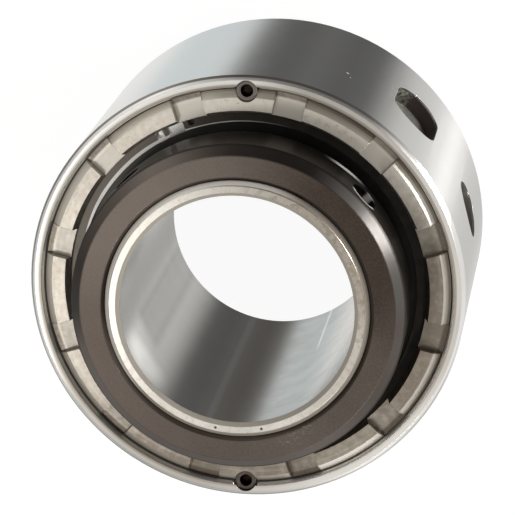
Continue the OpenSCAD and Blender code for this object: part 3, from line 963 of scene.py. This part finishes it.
# %% The first turns of the mouth thread
def mouth_thread(name, start_clock, end_clock):
    """A thin curved strip with a threaded inner side. Its section is a row of points up
    the inner side and down the outer side. On the inner side the radius is the wall's
    less the depth of the thread, as a triangle wave of the height divided by the pitch,
    less the clock angle divided by a full turn. Both ends are closed by their section."""
    pitch, depth = 1.27 * MM, 0.62 * MM
    clock = np.radians(np.linspace(start_clock, end_clock, 300))
    rise = np.linspace(face_z - 2.9 * MM, face_z - 0.55 * MM, 22)
    phase = (rise[:, None] / pitch - clock[None, :] / (2 * np.pi)) % 1.0
    wave = np.clip(1.5 * np.abs(2 * phase - 1) - 0.25, 0, 1)
    fade = np.clip((rise[-1] - rise) / (0.5 * MM), 0, 1)[:, None]
    inner = mouth_r - 0.06 * MM - depth * wave * fade
    outer = np.full((4, clock.size), mouth_r - 0.02 * MM)
    height = np.concatenate([rise, np.linspace(rise[-1], rise[0], 4)])
    spread = np.concatenate([inner, outer])
    points = np.stack([spread * np.sin(clock), spread * np.cos(clock),
                       np.repeat(height[:, None], clock.size, axis=1)], axis=-1)
    rows, columns = points.shape[:2]
    row, column = np.arange(rows)[:, None], np.arange(columns - 1)[None, :]
    here, above = row * columns + column, (row + 1) % rows * columns + column
    quads = np.stack([here, here + 1, above + 1, above], axis=-1).reshape(-1, 4).tolist()
    first = np.arange(rows) * columns
    ends = [first.tolist(), (first + columns - 1)[::-1].tolist()]
    strip = new_piece(name, points.reshape(-1, 3).tolist(), quads + ends)
    join_and_smooth(strip.data)
    strip.data.materials.append(nodes["housing"].material_slots[0].material)
    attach(strip, "cartridge")
    print(name, len(strip.data.polygons), "faces")


SCREW_SPAN = 3.3
for side, clock in zip(("right", "left"), LOCK_SCREW_CLOCKS):
    mouth_thread("mouth_thread_" + side, clock + SCREW_SPAN, clock + 180 - SCREW_SPAN)


# %% [markdown]
# The screws are oxide with specks of rust, and their sockets are painted black as shade.
# The bottom lock screw, where dirt collects, is the darkest.

# %% Finish of the screws
def screw_oxide(name, along, head, wear, sockets, socket_reach):
    """Oxide with bright metal showing on the bevel around the head from wear. along gives the
    distance along the screw, head is its value at the head's face, and wear is the share of
    metal that shows. sockets holds the radius, clock angle and height of a point in each
    screw's socket, which is painted black as shade."""
    oxide = Metal(name)
    place = oxide.place
    cloud = place.blotches(3.0 * MM, 4.0)
    grain = place.blotches(0.5 * MM, 4.0)
    bevel = along(place).band(head - 0.3 * MM, 0.25 * MM, 0.15 * MM)
    bevel = bevel.most(along(place).band(head, 0.2 * MM, 0.1 * MM) * cloud.step(0.50, 0.60))
    dark = oxide.mix(grain, (0.028, 0.022, 0.018), (0.10, 0.072, 0.055))
    rust = oxide.mix(cloud.step(0.52, 0.72) * 0.75, dark, (0.20, 0.085, 0.040))
    grime = place.around((-180, 1), (-168, 1), (-150, 0), (150, 0), (168, 1))
    rust = oxide.mix(grime * (0.5 + 0.5 * grain), rust, (0.042, 0.016, 0.010))
    bevel = bevel * (1 - 0.6 * grime)
    colour = oxide.mix(bevel * wear, rust, (0.85, 0.80, 0.74))
    # painted shade: each socket is near black inside
    for socket in sockets:
        inside = place.gap_from(*socket).step(socket_reach, 0.93 * socket_reach)
        colour = oxide.mix(inside, colour, (0.006, 0.005, 0.004))
    roughness = 0.34 + 0.26 * cloud
    return oxide.finish_with(colour, roughness, grain, relief=0.03, metallic=0.9, edge=0.12)


def add_screw(node, sizes, length, turn, foot, finish):
    """Puts a threaded screw in the place of a node, with its point at foot. Each screw is a
    body of its own, so it rides on the body named like its node."""
    piece = set_screw(node + "_threaded", length, **sizes)
    settle(piece, turn, foot)
    piece.data.materials.append(finish)
    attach(piece, node)
    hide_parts(node)
    print(piece.name, len(piece.data.polygons), "faces")


# %% [markdown]
# The lock screws stand upright, so their boxes give both their places and lengths.

# %% The two lock screws
LOCK_SCREW = {"radius": 4.0 * MM, "key": 4.0 * MM, "pitch": 1.25 * MM}
lock_sockets = [(LOCK_SCREW_R, clock, lock_head_z - 1.6 * MM) for clock in LOCK_SCREW_CLOCKS]
lock_finish = screw_oxide("rusted lock screw", lambda place: place.z, lock_head_z, 0.3,
                          lock_sockets, 2.9 * MM)
for node in ("lock_screw_top", "lock_screw_bottom"):
    low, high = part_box(node)
    foot = ((low[0] + high[0]) / 2, (low[1] + high[1]) / 2, low[2])
    add_screw(node, LOCK_SCREW, high[2] - low[2], Matrix.Identity(3), foot, lock_finish)

# %% [markdown]
# The collar screws lie along a radius, at their clock angles. Their heads are a little
# below the outside of the collar.

# %% The two collar screws
COLLAR_SCREW = {"radius": 5.55 * MM, "key": 5.6 * MM, "pitch": 1.8 * MM}
COLLAR_SCREW_LENGTH = 14 * MM
collar_head_r = collar_r - 3 * MM
collar_sockets = [(collar_head_r - 2.2 * MM, clock, screw_hole_z)
                  for clock in COLLAR_SCREW_CLOCKS.values()]
collar_finish = screw_oxide("rusted collar screw", lambda place: place.radius, collar_head_r,
                            0.9, collar_sockets, 4.0 * MM)
for node, clock in COLLAR_SCREW_CLOCKS.items():
    low_z, high_z = heights_of(node)
    outwards = (math.sin(math.radians(clock)), math.cos(math.radians(clock)))
    start = collar_head_r - COLLAR_SCREW_LENGTH
    foot = (outwards[0] * start, outwards[1] * start, (low_z + high_z) / 2)
    add_screw(node, COLLAR_SCREW, COLLAR_SCREW_LENGTH, turn_to(outwards), foot, collar_finish)


# %% [markdown]
# ## The camera
#
# The photograph looks down the bore from a little above and to the right, through a
# long lens. The camera stands where its turn, its tilt and its distance put it.

# %% Place the camera
PHOTO_TURN = math.radians(8.08)
PHOTO_TILT = math.radians(16.39)
LENS_MM = 202.7
SENSOR_MM = 36.0
MEASURED_Z = 78.6 * MM
AIM_RIGHT, AIM_UP, DISTANCE = -7.9 * MM, -19.7 * MM, 1064.6 * MM

turn_c, turn_s = math.cos(PHOTO_TURN), math.sin(PHOTO_TURN)
tilt_c, tilt_s = math.cos(PHOTO_TILT), math.sin(PHOTO_TILT)
across = np.array([turn_c, -turn_s * tilt_s, -turn_s * tilt_c])
upward = np.array([0.0, tilt_c, -tilt_s])
backward = np.array([turn_s, turn_c * tilt_s, turn_c * tilt_c])
measured = np.array([0.0, 0.0, MEASURED_Z])
eye = measured - AIM_RIGHT * across - AIM_UP * upward + DISTANCE * backward

camera_data = bpy.data.cameras.new("photo camera")
camera_data.lens = LENS_MM
camera_data.sensor_width = SENSOR_MM
camera_data.clip_start = 0.05
camera_data.clip_end = 50.0
camera = add_object("photo camera", camera_data)
camera.matrix_world = posed(across, upward, backward, eye)
bpy.context.scene.camera = camera
print("camera", np.round(eye, 4).tolist())


# %% [markdown]
# ## The room that the metal shows
#
# Bare metal has hardly any colour of its own: what it shows is the room. The room is
# described by the direction of a ray. Downwards, where the outside and the bore look,
# it has a dark side towards +Y, a bluish window beside it and white walls elsewhere.
# Level with the object it is dark towards +Y too, with a bright wall on either side of
# that, and overhead it is evenly dull. The camera itself sees plain white.

# %% The room by direction
BRIGHTEST = 1.3


def ramp_around(finish, share, levels):
    """A colour ramp over the clock angle. levels holds rows of a clock angle, a brightness
    and a tint where the wall is bluish. The first row is at -180 degrees, and it is used
    at 180 degrees too."""
    stops = []
    for clock, level, *tints in levels:
        shade, tint = level / BRIGHTEST, sum(tints)
        stops.append((clock / 360 + 0.5, (shade * (1 - tint), shade * (0.99 + 0.3 * tint),
                                          shade * (0.965 + tint))))
    stops.append((1.0, stops[0][1]))
    return finish.node("ShaderNodeValToRGB", {"stops": stops}, [share])


def room_colour(finish, direction):
    """The colour of the room in a direction, divided by BRIGHTEST."""
    x, y, z = finish.split(direction)
    clock = x.sum("ARCTAN2", x, y)
    share = clock / (2 * math.pi) + 0.5
    below = ramp_around(finish, share, [
        (-180, 0.80), (-163, 0.95), (-140, 1.05), (-120, 0.87), (-97, 0.88),
        (-86, 0.67, 0.06), (-60, 0.66, 0.06), (-47, 0.72, 0.04), (-42, 0.66, 0.03),
        (-34, 0.19), (-24, 0.115), (-12, 0.095), (6, 0.13), (26, 0.105),
        (43, 0.12), (50, 0.21), (56, 0.34), (68, 0.57), (85, 0.62),
        (98, 0.80), (106, 1.28), (112, 1.28),
        (121, 0.63), (146, 0.56), (167, 0.61)])
    level = ramp_around(finish, share, [
        (-180, 0.60), (-150, 0.45), (-128, 0.70), (-103, 0.62), (-74, 0.55),
        (-50, 0.80), (-36, 0.95), (-22, 0.55), (-8, 0.26), (20, 0.15),
        (40, 0.18), (54, 0.75), (71, 1.2), (88, 0.85), (104, 0.80),
        (128, 0.95), (150, 0.90), (165, 1.1), (174, 0.8)])
    shade = 0.45 / BRIGHTEST
    overhead = (shade, 0.985 * shade, 0.95 * shade)
    colour = finish.mix(z.step(-0.50, -0.65), level, below)
    return finish.mix(z.step(0.45, 0.75), colour, overhead)


def light_path(finish, name):
    """1 for rays of that kind, such as "Is Camera Ray"."""
    return finish.node("ShaderNodeLightPath", output=name)


def tent():
    """The world: the room for every ray but the camera's, which sees white."""
    world = bpy.data.worlds.new("room")
    bpy.context.scene.world = world
    sky = Finish(world)
    direction = sky.node("ShaderNodeTexCoord", output="Generated")
    lit = sky.node("ShaderNodeBackground", {}, [room_colour(sky, direction), BRIGHTEST])
    white = sky.node("ShaderNodeBackground", {}, [WHITE, 1.0])
    shown = sky.node("ShaderNodeMixShader", {}, [light_path(sky, "Is Camera Ray"), lit, white])
    sky.node("ShaderNodeOutputWorld", {}, [shown])
    print(world.name, "of", len(sky.tree.nodes), "nodes")


tent()


# %% [markdown]
# Three soft boxes add what a smooth room can't. One hangs high at the lower left of the
# picture, a strip draws the glint on the right of the collar, and a low one reaches the
# lugs at the bottom.

# %% Lamps
LAMP_DISTANCE = 1.0


def lamp(name, clock, rise, aim, width, height, watts, colour=WHITE):
    """A soft box, seen from its aim at a clock angle and a rise in degrees."""
    turn, lift = math.radians(clock), math.radians(rise)
    level = math.cos(lift)
    away = np.array([math.sin(turn) * level, math.cos(turn) * level, math.sin(lift)])
    place = np.array(aim) + LAMP_DISTANCE * away
    light = bpy.data.lights.new(name, "AREA")
    light.shape = "RECTANGLE"
    light.size = width
    light.size_y = height
    light.energy = watts
    light.color = colour
    side = np.cross(-away, (0.0, 0.0, 1.0))
    side = side / np.linalg.norm(side)
    add_object(name, light).matrix_world = posed(side, np.cross(side, -away), away, place)
    print(name, "lamp at", np.round(place, 3).tolist())


lamp("overhead", -130, 66, (-0.05, -0.03, 0.06), 0.22, 0.22, 0.80, (1.0, 0.98, 0.94))
lamp("side strip", 73, 13, (0.05, 0.03, 0.07), 0.28, 0.09, 2.6)
lamp("low", 155, 38, (0.0, 0.0, 0.05), 0.12, 0.12, 1.6)


# %% [markdown]
# ## The floor
#
# The photograph has a pure white ground. The floor is white paper that gives out light
# for the camera alone, and its paper part still takes a faint shadow. It isn't seen in
# reflections, so that the metal shows the same room at every height.

# %% White paper floor
SHADOW_SHARE = 0.15
PAPER_LEVEL = 0.50


def floor_sheet():
    """The camera sees a mix of paper and plain white. The white part is over 1 by as much
    as paper in open light is under it, so that only the shadow is darker."""
    half = 3.0
    corners = [(x * half, y * half, rear_z) for x, y in ((-1, -1), (1, -1), (1, 1), (-1, 1))]
    sheet = new_piece("floor", corners, [(0, 1, 2, 3)])
    sheet.visible_glossy = False
    paper = Finish(bpy.data.materials.new("white paper"))
    diffuse = paper.node("ShaderNodeBsdfDiffuse", {}, [(0.95, 0.95, 0.95)])
    strength = (1 - SHADOW_SHARE * PAPER_LEVEL) / (1 - SHADOW_SHARE)
    white = paper.node("ShaderNodeEmission", {}, [WHITE, strength])
    seen = light_path(paper, "Is Camera Ray").most(light_path(paper, "Is Transmission Ray"))
    shown = paper.node("ShaderNodeMixShader", {}, [seen * (1 - SHADOW_SHARE), diffuse, white])
    paper.node("ShaderNodeOutputMaterial", {}, [shown])
    sheet.data.materials.append(paper.owner)
    print("floor at", round(rear_z / MM, 2), "mm")


floor_sheet()
bpy.context.scene.view_settings.view_transform = "Standard"
